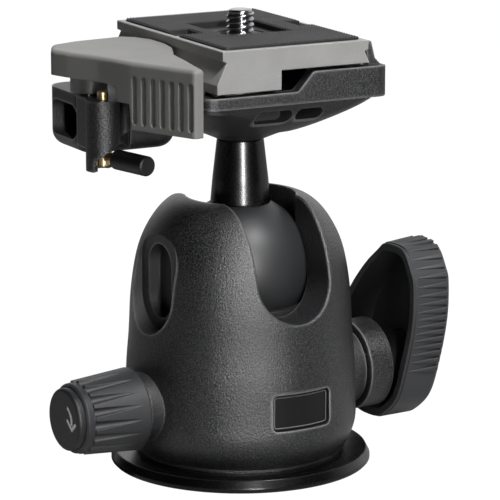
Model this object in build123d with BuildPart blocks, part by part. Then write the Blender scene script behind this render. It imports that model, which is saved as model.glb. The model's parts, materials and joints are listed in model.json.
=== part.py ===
from build123d import *
from math import acos, cos, hypot, radians, sin, sqrt
import os

os.makedirs("parts", exist_ok=True)

# Millimetres, +Z up. The origin is the middle of the base flange's underside, where the
# tripod screw enters. The camera plate lies square to X and Y; the housing is turned a
# little about Z, and everything on it is placed by angles about Z.

# --- running fits ---------------------------------------------------------------------
running_gap = 0.1          # radial, between a shaft and its bore
seat_gap = 0.02            # radial, between two pieces fixed together
face_gap = 0.3             # between pieces that pass each other
ball_gap = 0.1             # between the ball and what it turns in
chamber_gap = 0.4          # between the ball and the wall under its seat
through = 1.0              # how far a cut runs past the face that it opens

# --- directions about Z ---------------------------------------------------------------
housing_turn = 4.7
front_angle = -90 + housing_turn
rear_angle = front_angle + 180
lock_angle = front_angle + 90
friction_angle = front_angle - 90

# --- ball and stem --------------------------------------------------------------------
ball_radius = 16.2
ball_height = 45.8
stem_root_radius = 6.85
stem_root_rise = 15.2          # from the ball's middle
stem_neck_radius = 6.4
stem_neck_rise = 5.0
stem_top_radius = 5.35
stem_taper_rise = 9.5
stem_edge = 0.3
stem_spigot_radius = 4.3
stem_spigot = 5.0
stem_bore_spare = 1.8
stem_root_height = ball_height + stem_root_rise
stem_neck_height = stem_root_height + stem_neck_rise
stem_top = stem_neck_height + stem_taper_rise

# --- base -----------------------------------------------------------------------------
chamber_radius = ball_radius + chamber_gap
flange_radius = 30.0
flange_height = 2.8
flange_edge = 1.1
flange_foot_edge = 0.4
flange_slope = 0.9
spigot_height = 5.0
relief_depth = 0.5
relief_inner = 13.0
relief_outer = 24.0
tripod_thread_radius = 3.97     # 3/8-16, tapping size
insert_radius = 7.0
insert_edge = 0.4
base_screw_count = 3
base_screw_start = 30.0
base_screw_radius = 2.0
base_screw_wall = 1.4
base_screw_head = 3.9
base_screw_length = 10.0
base_screw_socket = 1.25
base_screw_circle = chamber_radius + base_screw_radius + base_screw_wall

# --- housing --------------------------------------------------------------------------
housing_foot_radius = base_screw_circle + base_screw_radius + base_screw_wall
housing_foot_gap = 0.9
# radius and height: the skirt above the flange, the shoulder from the ball's middle
housing_skirt = ((24.2, 0.95), (25.4, 3.4), (26.3, 5.8), (26.7, 8.4), (26.65, 10.6), (26.3, 21.4))
housing_shoulder = ((25.8, -15.7), (25.4, -7.8), (24.6, -0.8), (23.1, 5.6), (20.8, 10.4), (17.6, 14.4),
                    (15.0, 16.1))
rim_rise = 16.6
rim_height = ball_height + rim_rise
rim_radius = 13.4
opening_radius = 12.7
chamber_step = 1.2
notch_half_width = 9.4
notch_drop = 9.0
notch_bottom = ball_height - notch_drop
notch_edge = 0.5
rear_notch_half_width = 11.4
rear_notch_rise = 6.5
rear_notch_bottom = ball_height + rear_notch_rise
notch_room = 6.0

well_wall = 2.0
well_depth = 2.8
well_width = 9.6
well_height = 17.0
pocket_width = 16.4
pocket_height = 23.2
pocket_drop = 1.2
pocket_draft = 4.0
pocket_middle = ball_height - pocket_drop
well_floor = chamber_radius + well_wall
pocket_floor = well_floor + well_depth

label_width = 15.1
label_height = 8.4
label_rise = 14.3
label_corner = 1.2
label_floor = 25.2
label_thickness = 0.7
label_gap = 0.1
label_reach = 6.0
label_middle = flange_height + label_rise

# --- clamping inside the housing ---------------------------------------------------------
cup_hole = 5.0
cup_floor = 2.0
cup_drop = 7.8
cup_top = ball_height - cup_drop
cup_bottom = ball_height - ball_radius - cup_floor
carrier_thickness = 4.2
carrier_bottom = cup_bottom - carrier_thickness
wedge_top_half = 8.2
wedge_tip_half = 3.2
wedge_tip_gap = 1.2
wedge_width = 12.0
wedge_rest_gap = 0.7

lock_drop = 5.6
lock_height = carrier_bottom - lock_drop
lock_boss_radius = 9.0
lock_boss_face = 29.4
boss_root = chamber_radius + 2.0
bush_wall = 0.6
lock_bush_radius = 6.0
lock_bush_inner = chamber_radius + bush_wall
lock_shank_radius = 4.4
lock_tip_radius = 2.6
lock_tip_start = 10.6
lock_shoulder = 24.6
lock_plunger_end = 23.0
lock_bore_bottom = 9.0

friction_drop = 7.5
friction_height = carrier_bottom - friction_drop
friction_boss_radius = 8.0
friction_boss_face = 28.9
friction_bush_radius = 4.6
friction_bush_inner = chamber_radius + bush_wall
friction_shank_radius = 3.0
friction_tip_radius = 1.9
friction_tip_start = 11.4
friction_shoulder = 21.8
friction_plunger_end = 20.0
friction_plunger_radius = 3.0
friction_pad_length = 2.4
friction_bore_floor = 1.2
insert_clearance = 1.9         # under the lower plunger
insert_height = friction_height - friction_plunger_radius - insert_clearance
wedge_tip_height = insert_height + wedge_tip_gap

# --- friction knob ----------------------------------------------------------------------
friction_knob_length = 16.0
friction_knob_back = friction_boss_face + face_gap
friction_knob_front = friction_knob_back + friction_knob_length
friction_knob_back_radius = 9.5
friction_knob_front_radius = 8.45
friction_knob_edge = 0.5
friction_ring_radius = 7.95
friction_ring_length = 2.0
friction_seat_depth = 2.0
friction_square = 4.6
friction_square_end = 3.0
flute_count = 18
flute_front_radius = 1.05
flute_back_radius = 0.3
flute_back_wall = 2.6
flute_lift = 0.1
friction_cap_radius = 7.15
friction_cap_recess = 0.8
friction_cap_proud = 1.7
friction_cap_edge = 0.8

# --- main knob --------------------------------------------------------------------------
collar_radius = 10.6
collar_length = 6.9
collar_edge = 0.8
collar_groove = 0.4
collar_start = lock_boss_face + face_gap
wing_start = collar_start + collar_length + collar_groove
wing_depth = 11.0
wing_wall = 2.0
wing_floor = 2.6
wing_rim_round = 2.2
wing_lip = 0.25
wing_lip_depth = 0.8
wing_hub_radius = 6.6
wing_seat_depth = 1.0
rib_count = 10
rib_first = 0.01
rib_last = 0.32
rib_width = 1.3
rib_height = 0.7
rib_start = 1.6
rib_end = 9.2
rib_root = 1.0
# outline in four curves of (towards the front, height above the screw), as one goes round
wing_top = ((7.5, 29.8), (13.2, 28.5), (15.6, 24.8), (17.0, 17.2))
wing_front = ((17.0, 17.2), (16.4, 11.1), (15.2, 6.0), (13.6, 0.9), (11.7, -4.5), (9.2, -8.7), (5.0, -12.2),
              (-1.5, -13.8))
wing_foot = ((-1.5, -13.8), (-6.0, -13.3), (-10.5, -10.3), (-13.6, -4.8), (-14.4, 1.7))
wing_back = ((-14.4, 1.7), (-13.2, 9.2), (-10.0, 15.5), (-5.8, 20.6), (-1.0, 25.2), (3.0, 28.4), (7.5, 29.8))
wing_heart = (1.0, 6.2)
hex_across = 8.0
hex_length = 4.0

# --- quick release platform: heights, from the top of the stem up -----------------------------
tray_rise = 11.5
tray_bottom = stem_top + tray_rise
tray_low_wall = 2.7
tray_high_wall = 7.0
tray_floor_drop = 0.8
rear_wall = 3.2
tray_low_top = tray_bottom + tray_low_wall
tray_high_top = tray_bottom + tray_high_wall
tray_floor = tray_bottom - tray_floor_drop
rear_wall_top = tray_bottom + rear_wall

# --- camera plate -----------------------------------------------------------------------
plate_lift = 0.4               # over the rear wall, which it slides out across
plate_thickness = 9.4
plate_half_width = 18.14
plate_half_length = 26.3
plate_rim = 2.0
plate_groove = 0.94
plate_groove_slope = 0.5
plate_flare = 1.36
plate_foot = 2.0
plate_edge = 0.3
plate_bottom = rear_wall_top + plate_lift
plate_top = plate_bottom + plate_thickness
plate_flare_half = plate_half_width + plate_flare
plate_flare_height = plate_bottom + plate_foot
pad_side_border = 1.14
pad_end_border = 1.4
pad_recess = 0.8
pad_thickness = 1.6
pad_corner = 1.4
pad_gap = 0.05
pad_half_width = plate_half_width - pad_side_border
pad_half_length = plate_half_length - pad_end_border
pad_bottom = plate_top - pad_recess
pad_top = pad_bottom + pad_thickness
pad_notch_half = 3.2
pad_notch_left = 5.4
pad_notch_right = 3.6
window_half_width = 7.85
window_front = 9.0
window_rear = 11.0
clip_radius = 5.0
clip_thickness = 0.6
clip_lift = 0.05
screw_well_gap = 0.6
screw_well_depth = 2.6
screw_well_radius = clip_radius + screw_well_gap
screw_well_floor = plate_top - screw_well_depth
camera_screw_radius = 3.175     # 1/4-20
camera_screw_neck = 2.6
camera_stud = 4.0
camera_screw_edge = 0.5
camera_screw_head_radius = 5.2
camera_screw_head = 3.3
coin_slot_width = 2.4
coin_slot_depth = 1.6

# --- platform: tray, jaw and bowl ----------------------------------------------------------
plate_side_gap = 0.4
tray_left_ledge = 0.86
tray_left_wall = 3.0
tray_right_wall = 4.1
tray_end_gap = 0.3
tray_end_wall = 3.0
tray_corner = 3.0
cavity_corner = 0.5
cavity_left = -plate_half_width - tray_left_ledge
cavity_right = plate_flare_half + plate_side_gap
tray_left = cavity_left - tray_left_wall
tray_right = cavity_right + tray_right_wall
tray_middle = (tray_left + tray_right) / 2
tray_half_length = plate_half_length - tray_end_gap
cavity_half_length = tray_half_length - tray_end_wall
ramp_start = 0.7
ramp_end = 4.6
ramp_round = 1.2
arch_gap = 0.9
arch_left = -3.7
arch_right = 14.6
arch_height = tray_high_top + arch_gap
jaw_drop = 0.7                 # below the plate's top
jaw_crest = 1.4
jaw_shoulder = 2.4
jaw_shoulder_drop = 3.8
jaw_root = 3.8
jaw_hold = 4.0
jaw_end_gap = 2.0
# the jaws stay clear of a straight line from the plate's flare to its top edge
jaw_line_slope = plate_flare / (plate_thickness - plate_foot - plate_edge)
jaw_tip = plate_half_width + (plate_rim - plate_edge) * jaw_line_slope + face_gap
jaw_top = plate_top - jaw_drop
jaw_half_length = tray_half_length - jaw_end_gap
# sections of the bowl: height above the stem, middle in X, width, length, corner
bowl_sections = ((2.8, 0.4, 24.5, 25.5, 10.0), (4.5, 0.6, 31.0, 33.0, 11.0), (6.7, 0.9, 37.0, 41.0, 11.5),
                 (9.0, 1.0, 42.0, 46.0, 9.0))
bowl_brim_inset = 1.0
bowl_brim_corner = 4.0
bowl_overlap = 0.5
bowl_foot = ((5.75, 0.05), (9.1, 1.5), (12.5, 2.8), (12.5, 4.1))
# pockets in the bowl's front: left end, right end, bottom and top below the tray, depth
bowl_pockets = ((-8.2, 1.0, -4.8, -1.6, 9.0), (2.0, 8.6, -4.4, -1.6, 15.0))
bowl_pocket_ratio = 0.45       # of a corner to the pocket's height
screw_head_radius = 5.0
screw_head_depth = 2.9
screw_head_sink = 0.2
screw_radius = 3.0
screw_length = 15.0
screw_socket = 2.5
screw_socket_depth = 1.8

# --- platform: block under the lever ---------------------------------------------------------
lever_reach = 15.06            # from the plate's side to the lever's pivot
lever_x = -plate_half_width - lever_reach
block_front = 5.0
block_side = 3.8
block_right = -12.5
block_rear_inset = 0.6
block_drop = 0.1
block_height = 13.6
block_corner = 5.0
block_edge = 3.5
block_left = lever_x - block_side
block_rear = tray_half_length - block_rear_inset
block_top = tray_bottom - block_drop
block_bottom = block_top - block_height
lever_y = block_front + 4.8
scoop_end_wall = 3.6
scoop_foot_wall = 3.1
scoop_roof_wall = 2.6
scoop_depth = 9.0
scoop_corner = 2.6

# --- safety catch -----------------------------------------------------------------------------
boss_x = lever_x - 1.0
boss_y = block_front - 4.4
boss_radius = 3.85
boss_drop = 2.4
boss_bottom = block_bottom - boss_drop
boss_bore_radius = 2.2
boss_bore_depth = 5.4
cam_angle = -12.0          # the way the cam under the boss climbs
cam_rise = 4.25
cam_slope = 0.645
cam_step_angle = -148.0
web_rise = 4.7
web_side = 0.6
web_draft = 0.3
web_bite = 3.0
column_x = lever_x + 4.9
column_y = block_front - 2.9
column_radius = 1.4
pin_radius = 1.25
pin_proud = 2.0
pin_foot = 0.4
pin_edge = 0.3
hub_radius = 1.9
hub_rise = 1.4
hub_height = 3.6
hub_bottom = boss_bottom + hub_rise
hub_top = hub_bottom + hub_height
handle_rise = 1.7
handle_angle = -77.0
handle_length = 15.8
handle_neck_radius = 1.1
handle_bite = 3.0
handle_radius = 2.25
handle_sleeve_start = 4.8
handle_edge = 0.6
handle_back_edge = 0.4
handle_height = hub_bottom + handle_rise

# --- lever --------------------------------------------------------------------------------------
lever_drop = 1.8               # below the plate's top
lever_thickness = 3.8
lever_skirt = 1.8
lever_step = 3.6
lever_pad = 5.6
lever_top = plate_top - lever_drop
lever_plate_bottom = lever_top - lever_thickness
lever_skirt_bottom = lever_plate_bottom - lever_skirt
lever_step_bottom = lever_skirt_bottom - lever_step
lever_pad_bottom = lever_step_bottom - lever_pad
lever_hub_radius = 4.2
lever_hub_gap = 0.4
lever_hub_bottom = block_top + lever_hub_gap
lever_pin_radius = 2.0
lever_pin_sink = 2.3
lever_pin_bottom = block_top - lever_pin_sink
lever_edge = 1.0
# seen from above and counted from the pivot, from the tail along the outer side to the tip
# and back past the plate; each corner with its rounding
lever_outline = (((-11.6, -5.2), 2.2), ((-10.0, -10.2), 4.0), ((-6.4, -18.8), 12.0), ((-3.7, -28.3), 16.0),
                 ((3.6, -45.4), 1.2), ((6.0, -44.7), 0.8), ((8.2, -33.8), 8.0), ((10.2, -22.5), 3.0),
                 ((14.2, -13.8), 3.0), ((15.5, -7.8), 3.0), ((15.5, -2.3), 2.5), ((13.3, 3.0), 2.0),
                 ((10.8, 5.4), 1.5), ((-1.8, 4.0), 6.0), ((-8.4, 1.6), 3.0))
lever_hollow = ((-8.7, -4.8), (-8.0, -8.8), (-4.0, -18.8), (-0.2, -29.0), (2.6, -36.4), (5.3, -42.2),
                (23.2, -43.8), (23.2, 20.2), (-7.0, 20.2), (-7.0, -0.2))
pad_line_start = lever_outline[3][0]
pad_line_end = lever_outline[4][0]
lever_step_length = 4.4
lever_step_draft = 0.6
lever_step_round = 0.25
lever_far = 60.0
groove_count = 7
groove_pitch = 2.62
groove_first = 1.5
groove_width = 1.35
groove_depth = 0.7
groove_rise = 1.2
groove_length = 10.6

# --- trip button ----------------------------------------------------------------------------------
button_inset = 7.14            # from the plate's side
button_x = button_inset - plate_half_width
button_y = -9.0
button_radius = 2.4
button_top = plate_bottom - face_gap
button_edge = 0.6
button_flange = 3.2
button_flange_thickness = 0.6
button_flange_drop = 1.2
button_flange_top = tray_floor - button_flange_drop
button_well_depth = 4.8
button_well_bottom = tray_floor - button_well_depth
button_ring_thickness = 1.0
spring_wire_radius = 0.25
spring_turns = 2.5


def side_plane(angle, distance, height):
    """Plane that faces outwards at an angle about Z; its x runs round, its y runs up."""
    a = radians(angle)
    return Plane(
        origin=(distance * cos(a), distance * sin(a), height),
        x_dir=(-sin(a), cos(a), 0),
        z_dir=(cos(a), sin(a), 0),
    )


def save(piece, name):
    piece.part.label = name
    export_step(piece.part, f"parts/{name}.step")


# === base ================================================================================
spigot_radius = chamber_radius - running_gap
spigot_top = flange_height + spigot_height
with BuildPart() as base_flange:
    with BuildSketch(Plane.XZ):
        with BuildLine():
            Polyline(
                (insert_radius + seat_gap, 0), (relief_inner, 0), (relief_inner, relief_depth),
                (relief_outer, relief_depth), (relief_outer, 0), (flange_radius - flange_foot_edge, 0),
                (flange_radius, flange_foot_edge), (flange_radius, flange_edge),
                (flange_radius - flange_slope, flange_height),
                (spigot_radius, flange_height), (spigot_radius, spigot_top),
                (insert_radius + seat_gap, spigot_top), close=True,
            )
        make_face()
    revolve(axis=Axis.Z)
    with Locations(Plane.XY.offset(relief_depth).rotated((180, 0, 0))):
        with PolarLocations(base_screw_circle, base_screw_count, start_angle=base_screw_start):
            CounterSinkHole(base_screw_radius + seat_gap, base_screw_head + seat_gap, flange_height)
save(base_flange, "base_flange")

with BuildPart() as tripod_insert:
    with BuildSketch(Plane.XY):
        Circle(insert_radius)
        Circle(tripod_thread_radius, mode=Mode.SUBTRACT)
    extrude(amount=insert_height)
    chamfer(tripod_insert.edges().group_by(Axis.Z)[0].sort_by(SortBy.RADIUS)[0], insert_edge)
save(tripod_insert, "tripod_insert")

screw_sink = base_screw_head - base_screw_radius
with BuildPart() as base_screws:
    with BuildSketch(Plane.XY.offset(relief_depth)):
        with PolarLocations(base_screw_circle, base_screw_count, start_angle=-base_screw_start):
            Circle(base_screw_head)
    extrude(amount=screw_sink, taper=45)
    with BuildSketch(Plane.XY.offset(relief_depth + screw_sink)):
        with PolarLocations(base_screw_circle, base_screw_count, start_angle=-base_screw_start):
            Circle(base_screw_radius)
    extrude(amount=base_screw_length - screw_sink)
    with BuildSketch(Plane.XY.offset(relief_depth)):
        with PolarLocations(base_screw_circle, base_screw_count, start_angle=-base_screw_start):
            RegularPolygon(base_screw_socket, 6)
    extrude(amount=base_screw_socket, mode=Mode.SUBTRACT)
save(base_screws, "base_screws")

# === housing =============================================================================
front = side_plane(front_angle, 0, 0)
rear = side_plane(rear_angle, 0, 0)
throat_radius = ball_radius + ball_gap
throat_height = ball_height + sqrt(throat_radius ** 2 - opening_radius ** 2)
throat_middle = acos(opening_radius / throat_radius) / 2
housing_side = [(r, flange_height + z) for r, z in housing_skirt]
housing_side += [(r, ball_height + z) for r, z in housing_shoulder]
mouth_radius = housing_shoulder[-2][0]



def on_front_mouth(edge):
    """True for the edges round the front notch on the housing's outer face."""
    middle = edge @ 0.5
    out = middle.dot(front.z_dir)
    side = middle.dot(front.x_dir)
    return (edge.geom_type != GeomType.LINE and out > 0 and hypot(middle.X, middle.Y) > mouth_radius
            and abs(side) < notch_half_width + notch_edge
            and notch_bottom - notch_edge < middle.Z < rim_height - notch_edge)


with BuildPart() as label_recess:
    with BuildSketch(side_plane(front_angle, label_floor - label_reach, label_middle)):
        RectangleRounded(label_width, label_height, label_corner)
    extrude(amount=flange_radius)
    with BuildSketch(Plane.XY):
        Circle(label_floor)
    extrude(amount=rim_height, mode=Mode.SUBTRACT)

with BuildPart() as housing:
    with BuildSketch(Plane.XZ):
        with BuildLine():
            l1 = Polyline((chamber_radius, flange_height), (housing_foot_radius, flange_height),
                          (housing_foot_radius, flange_height + housing_foot_gap), housing_side[0])
            l2 = Spline(*housing_side, (rim_radius, rim_height))
            l3 = Polyline((rim_radius, rim_height), (opening_radius, rim_height),
                          (opening_radius, throat_height))
            l4 = ThreePointArc(
                (opening_radius, throat_height),
                (throat_radius * cos(throat_middle), ball_height + throat_radius * sin(throat_middle)),
                (throat_radius, ball_height))
            l5 = Polyline((throat_radius, ball_height), (chamber_radius, ball_height - chamber_step),
                          (chamber_radius, flange_height))
        make_face()
    revolve(axis=Axis.Z)
    # bosses that carry the two knobs
    with BuildSketch(side_plane(lock_angle, boss_root, lock_height)):
        Circle(lock_boss_radius)
    extrude(amount=lock_boss_face - boss_root)
    with BuildSketch(side_plane(friction_angle, boss_root, friction_height)):
        Circle(friction_boss_radius)
    extrude(amount=friction_boss_face - boss_root)
    with BuildSketch(side_plane(lock_angle, 0, lock_height)):
        Circle(lock_bush_radius + seat_gap)
    extrude(amount=lock_boss_face + through, mode=Mode.SUBTRACT)
    with BuildSketch(side_plane(friction_angle, 0, friction_height)):
        Circle(friction_bush_radius + seat_gap)
    extrude(amount=friction_boss_face + through, mode=Mode.SUBTRACT)
    # notch for the 90 degree drop, and the shallow one opposite
    with BuildSketch(front):
        with Locations((0, notch_bottom + notch_half_width)):
            Circle(notch_half_width)
        with Locations((0, notch_bottom + notch_half_width)):
            Rectangle(2 * notch_half_width, rim_height + notch_room - notch_bottom - notch_half_width,
                      align=(Align.CENTER, Align.MIN))
    extrude(amount=flange_radius, mode=Mode.SUBTRACT)
    fillet([edge for edge in housing.edges() if on_front_mouth(edge)], notch_edge)
    with BuildSketch(rear):
        with Locations((0, rear_notch_bottom + rear_notch_half_width)):
            Circle(rear_notch_half_width)
    extrude(amount=flange_radius, mode=Mode.SUBTRACT)
    # oval pocket with its well
    with BuildSketch(side_plane(friction_angle, pocket_floor, pocket_middle)):
        SlotOverall(pocket_height, pocket_width, rotation=90)
    extrude(amount=flange_radius, taper=-pocket_draft, mode=Mode.SUBTRACT)
    with BuildSketch(side_plane(friction_angle, well_floor, pocket_middle)):
        SlotOverall(well_height, well_width, rotation=90)
    extrude(amount=flange_radius, mode=Mode.SUBTRACT)
    # recess for the badge plate
    add(label_recess.part, mode=Mode.SUBTRACT)
    with PolarLocations(base_screw_circle, base_screw_count, start_angle=-base_screw_start):
        with Locations((0, 0, flange_height)):
            Cylinder(base_screw_radius + seat_gap, base_screw_length,
                     align=(Align.CENTER, Align.CENTER, Align.MIN), mode=Mode.SUBTRACT)
save(housing, "housing")

with BuildPart() as label_plate:
    with BuildSketch(side_plane(front_angle, label_floor - label_reach, label_middle)):
        RectangleRounded(label_width - 2 * label_gap, label_height - 2 * label_gap, label_corner - label_gap)
    extrude(amount=label_reach + label_thickness + through)
    with BuildSketch(Plane.XY):
        Circle(label_floor + label_thickness)
    extrude(amount=rim_height, mode=Mode.INTERSECT)
    with BuildSketch(Plane.XY):
        Circle(label_floor + seat_gap)
    extrude(amount=rim_height, mode=Mode.SUBTRACT)
save(label_plate, "label_plate")

# === ball and its seat ===================================================================
with BuildPart() as ball:
    with Locations((0, 0, ball_height)):
        Sphere(ball_radius)
save(ball, "ball")

stem_bore_bottom = tray_floor - screw_head_depth - screw_length - stem_bore_spare
with BuildPart() as stem:
    with BuildSketch(Plane.XZ):
        with BuildLine():
            Polyline(
                (0, ball_height), (stem_root_radius, ball_height), (stem_root_radius, stem_root_height),
                (stem_neck_radius, stem_neck_height), (stem_top_radius, stem_top - stem_edge),
                (stem_top_radius - stem_edge, stem_top), (stem_spigot_radius, stem_top),
                (stem_spigot_radius, stem_top + stem_spigot), (0, stem_top + stem_spigot), close=True,
            )
        make_face()
    revolve(axis=Axis.Z)
    with Locations((0, 0, ball_height)):
        Sphere(ball_radius + ball_gap, mode=Mode.SUBTRACT)
    with Locations(Plane.XY.offset(stem_top + stem_spigot)):
        Hole(screw_radius + running_gap, depth=stem_top + stem_spigot - stem_bore_bottom)
save(stem, "stem")

cup_radius = chamber_radius - face_gap
with BuildPart() as ball_seat:
    with BuildSketch(Plane.XY.offset(cup_bottom)):
        Circle(cup_radius)
        Circle(cup_hole, mode=Mode.SUBTRACT)
    extrude(amount=cup_top - cup_bottom)
    with Locations((0, 0, ball_height)):
        Sphere(ball_radius + ball_gap, mode=Mode.SUBTRACT)
save(ball_seat, "ball_seat")

lock_plane = side_plane(lock_angle, 0, 0)
wedge_section = Plane(origin=(0, 0, 0), x_dir=lock_plane.z_dir, z_dir=-lock_plane.x_dir)
with BuildPart() as seat_wedge:
    with BuildSketch(Plane.XY.offset(carrier_bottom)):
        Circle(cup_radius)
    extrude(amount=cup_bottom - carrier_bottom)
    with BuildSketch(wedge_section.offset(-wedge_width / 2)):
        Polygon((wedge_top_half, carrier_bottom), (-wedge_top_half, carrier_bottom),
                (-wedge_tip_half, wedge_tip_height), (wedge_tip_half, wedge_tip_height), align=None)
    extrude(amount=wedge_width)
save(seat_wedge, "seat_wedge")

# === main knob and its clamp ===============================================================
wedge_slope = (wedge_top_half - wedge_tip_half) / (carrier_bottom - wedge_tip_height)


def wedge_reach(height):
    """Half length of the wedge at a height, measured from Z."""
    return wedge_tip_half + (height - wedge_tip_height) * wedge_slope


def nose_outline(low, high, far):
    """Side view of a plunger whose nose lies along the wedge's slope."""
    return ((wedge_reach(low) + wedge_rest_gap, low), (wedge_reach(high) + wedge_rest_gap, high),
            (far, high), (far, low))


lock_plunger_radius = lock_shank_radius
with BuildPart() as lock_plunger:
    with BuildSketch(side_plane(lock_angle, 0, lock_height)):
        Circle(lock_plunger_radius)
    extrude(amount=lock_plunger_end)
    with BuildSketch(wedge_section.offset(-wedge_width)):
        Polygon(*nose_outline(lock_height - lock_plunger_radius - through,
                              lock_height + lock_plunger_radius + through,
                              lock_plunger_end + through), align=None)
    extrude(amount=2 * wedge_width, mode=Mode.INTERSECT)
    with BuildSketch(side_plane(lock_angle, lock_bore_bottom, lock_height)):
        Circle(lock_tip_radius + running_gap)
    extrude(amount=lock_plunger_end, mode=Mode.SUBTRACT)
save(lock_plunger, "lock_plunger")

with BuildPart() as lock_bush:
    with BuildSketch(side_plane(lock_angle, lock_bush_inner, lock_height)):
        Circle(lock_bush_radius)
        Circle(lock_shank_radius + running_gap, mode=Mode.SUBTRACT)
    extrude(amount=lock_boss_face - lock_bush_inner)
save(lock_bush, "lock_bush")

hex_start = wing_start + wing_seat_depth
with BuildPart() as lock_screw:
    with BuildSketch(side_plane(lock_angle, lock_tip_start, lock_height)):
        Circle(lock_tip_radius)
    extrude(amount=lock_shoulder - lock_tip_start)
    with BuildSketch(side_plane(lock_angle, lock_shoulder, lock_height)):
        Circle(lock_shank_radius)
    extrude(amount=hex_start - lock_shoulder)
    with BuildSketch(side_plane(lock_angle, hex_start, lock_height)):
        RegularPolygon(hex_across / 2, 6, major_radius=False)
    extrude(amount=hex_length)
save(lock_screw, "lock_screw")

with BuildPart() as lock_collar:
    with BuildSketch(side_plane(lock_angle, collar_start, lock_height)):
        Circle(collar_radius)
        Circle(lock_shank_radius + seat_gap, mode=Mode.SUBTRACT)
    extrude(amount=collar_length)
    chamfer(lock_collar.faces().sort_by(Axis(origin=(0, 0, 0), direction=lock_plane.z_dir))[-1]
            .edges().sort_by(SortBy.RADIUS)[-1], collar_edge)
save(lock_collar, "lock_collar")


def wing_loop(inset):
    """Outline of the wing in its knob's plane, drawn in towards its heart by an inset."""
    for points, leave, arrive in (
        (wing_top, (1, 0), (0, -1)), (wing_front, (0, -1), (-1, 0)),
        (wing_foot, (-1, 0), (0, 1)), (wing_back, (0, 1), (1, 0)),
    ):
        ring = []
        for s, z in points:
            reach = hypot(s - wing_heart[0], z - wing_heart[1])
            keep = 1 - inset / reach
            ring.append((-wing_heart[0] - (s - wing_heart[0]) * keep,
                         wing_heart[1] + (z - wing_heart[1]) * keep))
        Spline(*ring, tangents=((-leave[0], leave[1]), (-arrive[0], arrive[1])))


with BuildSketch(Plane.XY) as wing_shape:
    with BuildLine():
        wing_loop(0)
    make_face()

wing_plane = side_plane(lock_angle, wing_start, lock_height)
wing_edge = wing_shape.sketch.faces()[0].outer_wire()
wing_middle = wing_plane.from_local_coords(wing_shape.sketch.center())
rib_places = [rib_first + (rib_last - rib_first) * i / (rib_count - 1) for i in range(rib_count)]
with BuildPart() as wing_knob:
    with BuildSketch(wing_plane):
        with BuildLine():
            wing_loop(wing_lip)
        make_face()
    extrude(amount=wing_lip_depth)
    with BuildSketch(wing_plane.offset(wing_lip_depth)):
        add(wing_shape.sketch)
    extrude(amount=wing_depth - wing_lip_depth)
    fillet(wing_knob.faces().sort_by(Axis(origin=(0, 0, 0), direction=lock_plane.z_dir))[-1].edges(),
           wing_rim_round)
    with BuildSketch(wing_plane):
        with BuildLine():
            wing_loop(wing_wall)
        make_face()
    extrude(amount=wing_depth - wing_floor, mode=Mode.SUBTRACT)
    with BuildSketch(wing_plane):
        Circle(wing_hub_radius)
    extrude(amount=wing_depth - wing_floor)
    with BuildSketch(wing_plane):
        Circle(lock_shank_radius + seat_gap)
    extrude(amount=wing_seat_depth, mode=Mode.SUBTRACT)
    with BuildSketch(side_plane(lock_angle, hex_start, lock_height)):
        RegularPolygon(hex_across / 2 + seat_gap, 6, major_radius=False)
    extrude(amount=hex_length + seat_gap, mode=Mode.SUBTRACT)
    # grip ribs along the upper front of the rim, rising towards the outer face
    for place in rib_places:
        spot = wing_plane.from_local_coords(wing_edge @ place)
        outward = (spot - wing_middle).normalized()
        with BuildSketch(Plane(origin=spot, x_dir=outward, z_dir=outward.cross(wing_plane.z_dir))):
            Polygon((-rib_root, rib_start), (0, rib_start), (rib_height, rib_end), (-rib_root, rib_end),
                    align=None)
        extrude(amount=rib_width / 2, both=True)
save(wing_knob, "wing_knob")

# === friction knob and its plunger ============================================================
friction_plane = side_plane(friction_angle, 0, 0)
friction_section = Plane(origin=(0, 0, 0), x_dir=friction_plane.z_dir, z_dir=-friction_plane.x_dir)
pad_end = wedge_reach(friction_height + friction_plunger_radius) + wedge_rest_gap + friction_pad_length
with BuildPart() as friction_pad:
    with BuildSketch(side_plane(friction_angle, 0, friction_height)):
        Circle(friction_plunger_radius)
    extrude(amount=pad_end)
    with BuildSketch(friction_section.offset(-wedge_width)):
        Polygon(*nose_outline(friction_height - friction_plunger_radius - through,
                              friction_height + friction_plunger_radius + through, pad_end + through),
                align=None)
    extrude(amount=2 * wedge_width, mode=Mode.INTERSECT)
save(friction_pad, "friction_pad")

with BuildPart() as friction_plunger:
    with BuildSketch(side_plane(friction_angle, pad_end, friction_height)):
        Circle(friction_plunger_radius)
    extrude(amount=friction_plunger_end - pad_end)
    with BuildSketch(side_plane(friction_angle, pad_end + friction_bore_floor, friction_height)):
        Circle(friction_tip_radius + running_gap)
    extrude(amount=friction_plunger_end, mode=Mode.SUBTRACT)
save(friction_plunger, "friction_plunger")

with BuildPart() as friction_bush:
    with BuildSketch(side_plane(friction_angle, friction_bush_inner, friction_height)):
        Circle(friction_bush_radius)
        Circle(friction_shank_radius + running_gap, mode=Mode.SUBTRACT)
    extrude(amount=friction_boss_face - friction_bush_inner)
save(friction_bush, "friction_bush")

friction_square_start = friction_knob_back + friction_seat_depth
friction_square_length = friction_knob_length - friction_seat_depth - friction_square_end
with BuildPart() as friction_screw:
    with BuildSketch(side_plane(friction_angle, friction_tip_start, friction_height)):
        Circle(friction_tip_radius)
    extrude(amount=friction_shoulder - friction_tip_start)
    with BuildSketch(side_plane(friction_angle, friction_shoulder, friction_height)):
        Circle(friction_shank_radius)
    extrude(amount=friction_square_start - friction_shoulder)
    with BuildSketch(side_plane(friction_angle, friction_square_start, friction_height)):
        Rectangle(friction_square, friction_square)
    extrude(amount=friction_square_length)
save(friction_screw, "friction_screw")

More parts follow.
